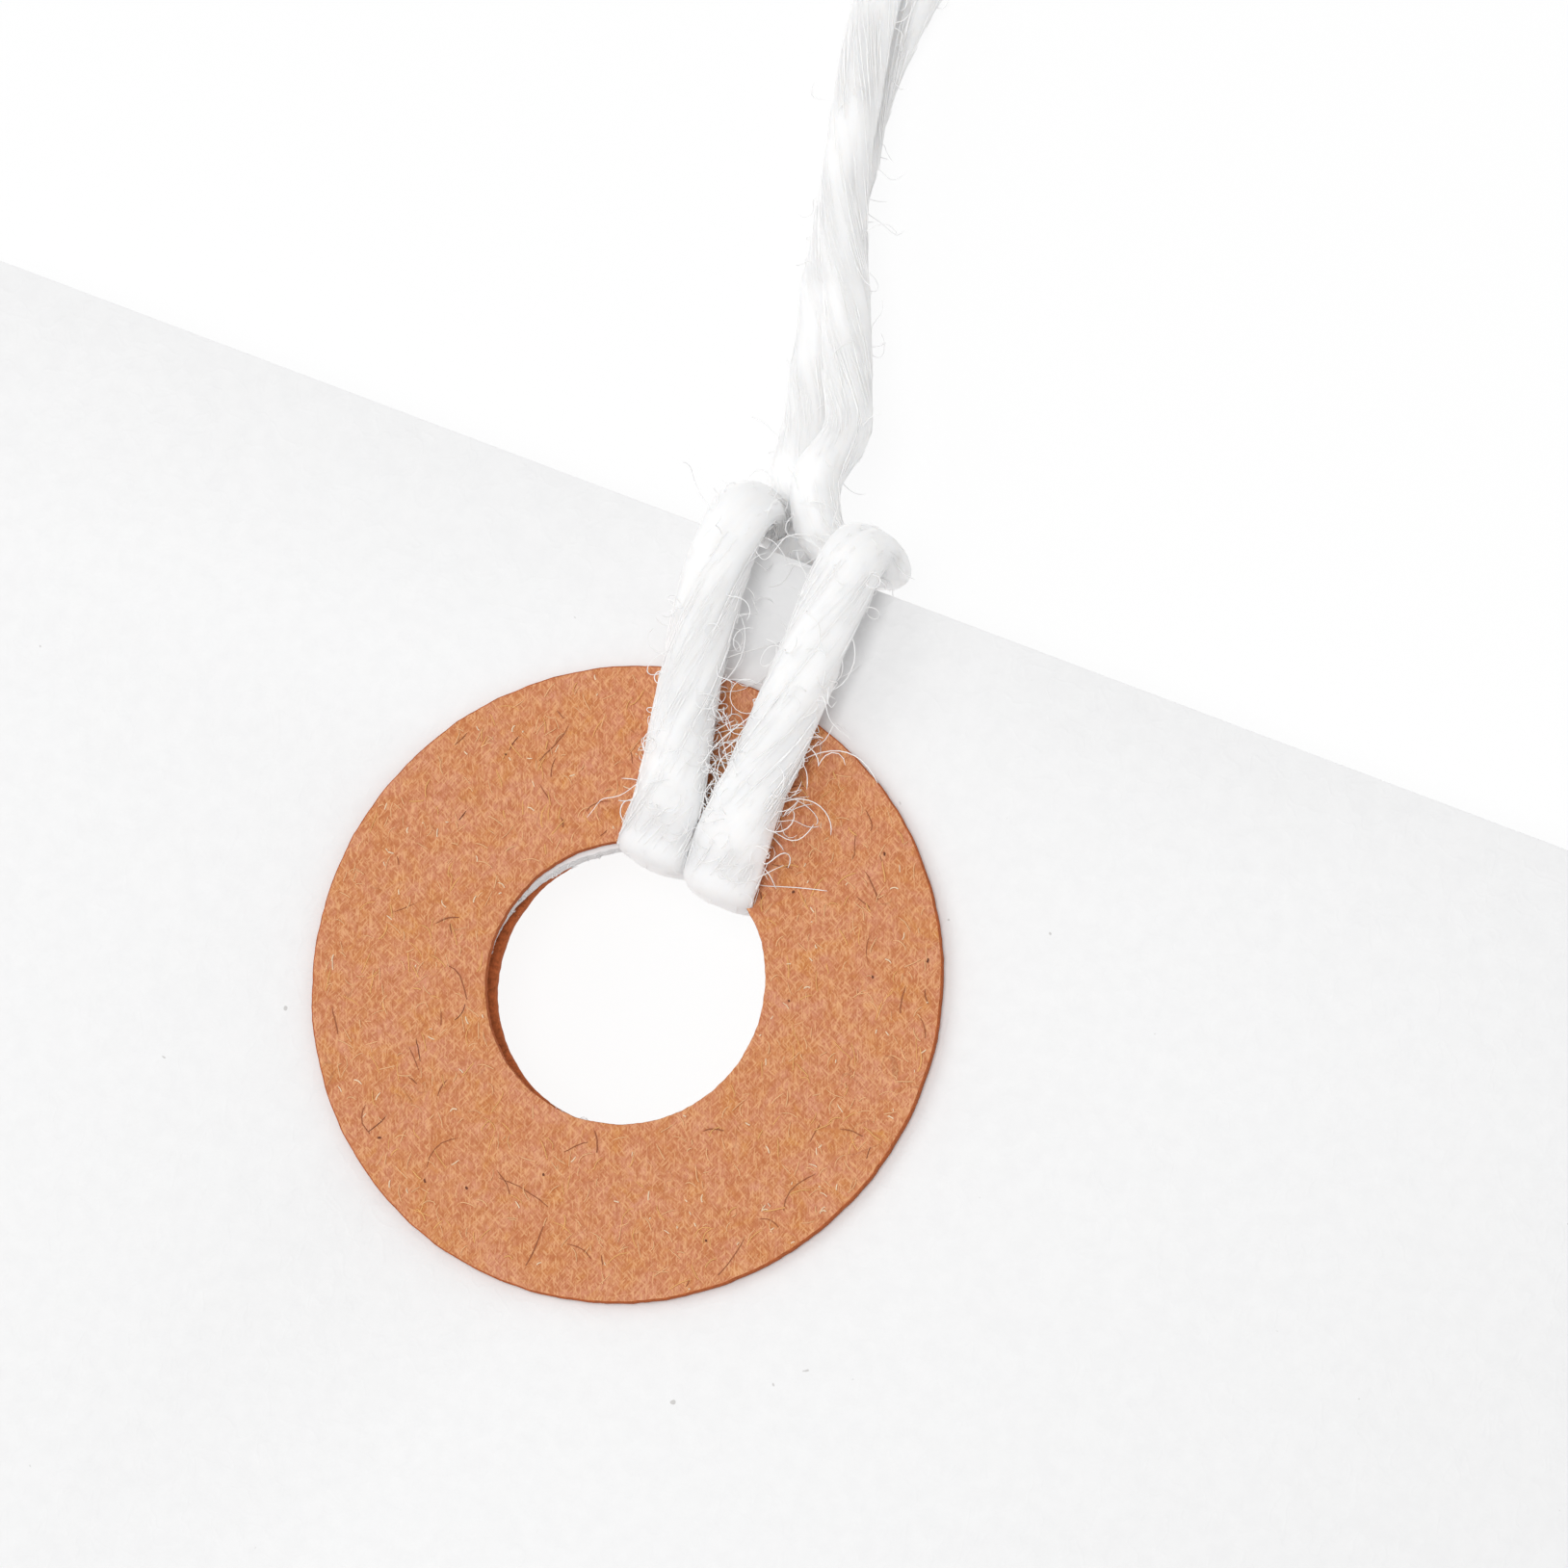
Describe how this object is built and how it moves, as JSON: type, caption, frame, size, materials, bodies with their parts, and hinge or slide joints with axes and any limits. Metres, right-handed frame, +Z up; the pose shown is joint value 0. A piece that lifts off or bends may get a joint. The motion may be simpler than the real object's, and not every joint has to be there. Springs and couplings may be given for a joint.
{
  "type": "strung card tag",
  "caption": "Plain white card tag with a brown fibre patch round its punched hole and a soft cotton string hitched through it, for tying a price or a note to jewellery.",
  "frame": {"origin": "on the surface that the tag lies on, below the middle of the card", "axes": "+Y along the card towards the edge with the hole, +Z up through the front face, +X to the right seen from the front"},
  "size_m": [0.0508, 0.1203, 0.0047],
  "materials": {
    "card": "uncoated white card",
    "fibre": "rough brown fibre paper",
    "glue": "dried gum film",
    "cotton": "soft spun cotton with loose fibres"
  },
  "bodies": {
    "tag": {"card": "card", "front_patch": "fibre", "front_glue": "glue", "back_patch": "fibre", "back_glue": "glue", "string_hitch": "cotton"},
    "string": {"string_neck": "cotton", "left_strand": "cotton", "right_strand": "cotton", "string_knot": "cotton", "string_tails": "cotton"}
  },
  "joints": [
    {"name": "string_fold", "type": "hinge", "parent": "tag", "child": "string", "pos_m": [0, 0.04695, 0.00213], "axis": [1, 0, 0], "range_deg": [-85, 110], "deforming": ["string_neck"]}
  ]
}
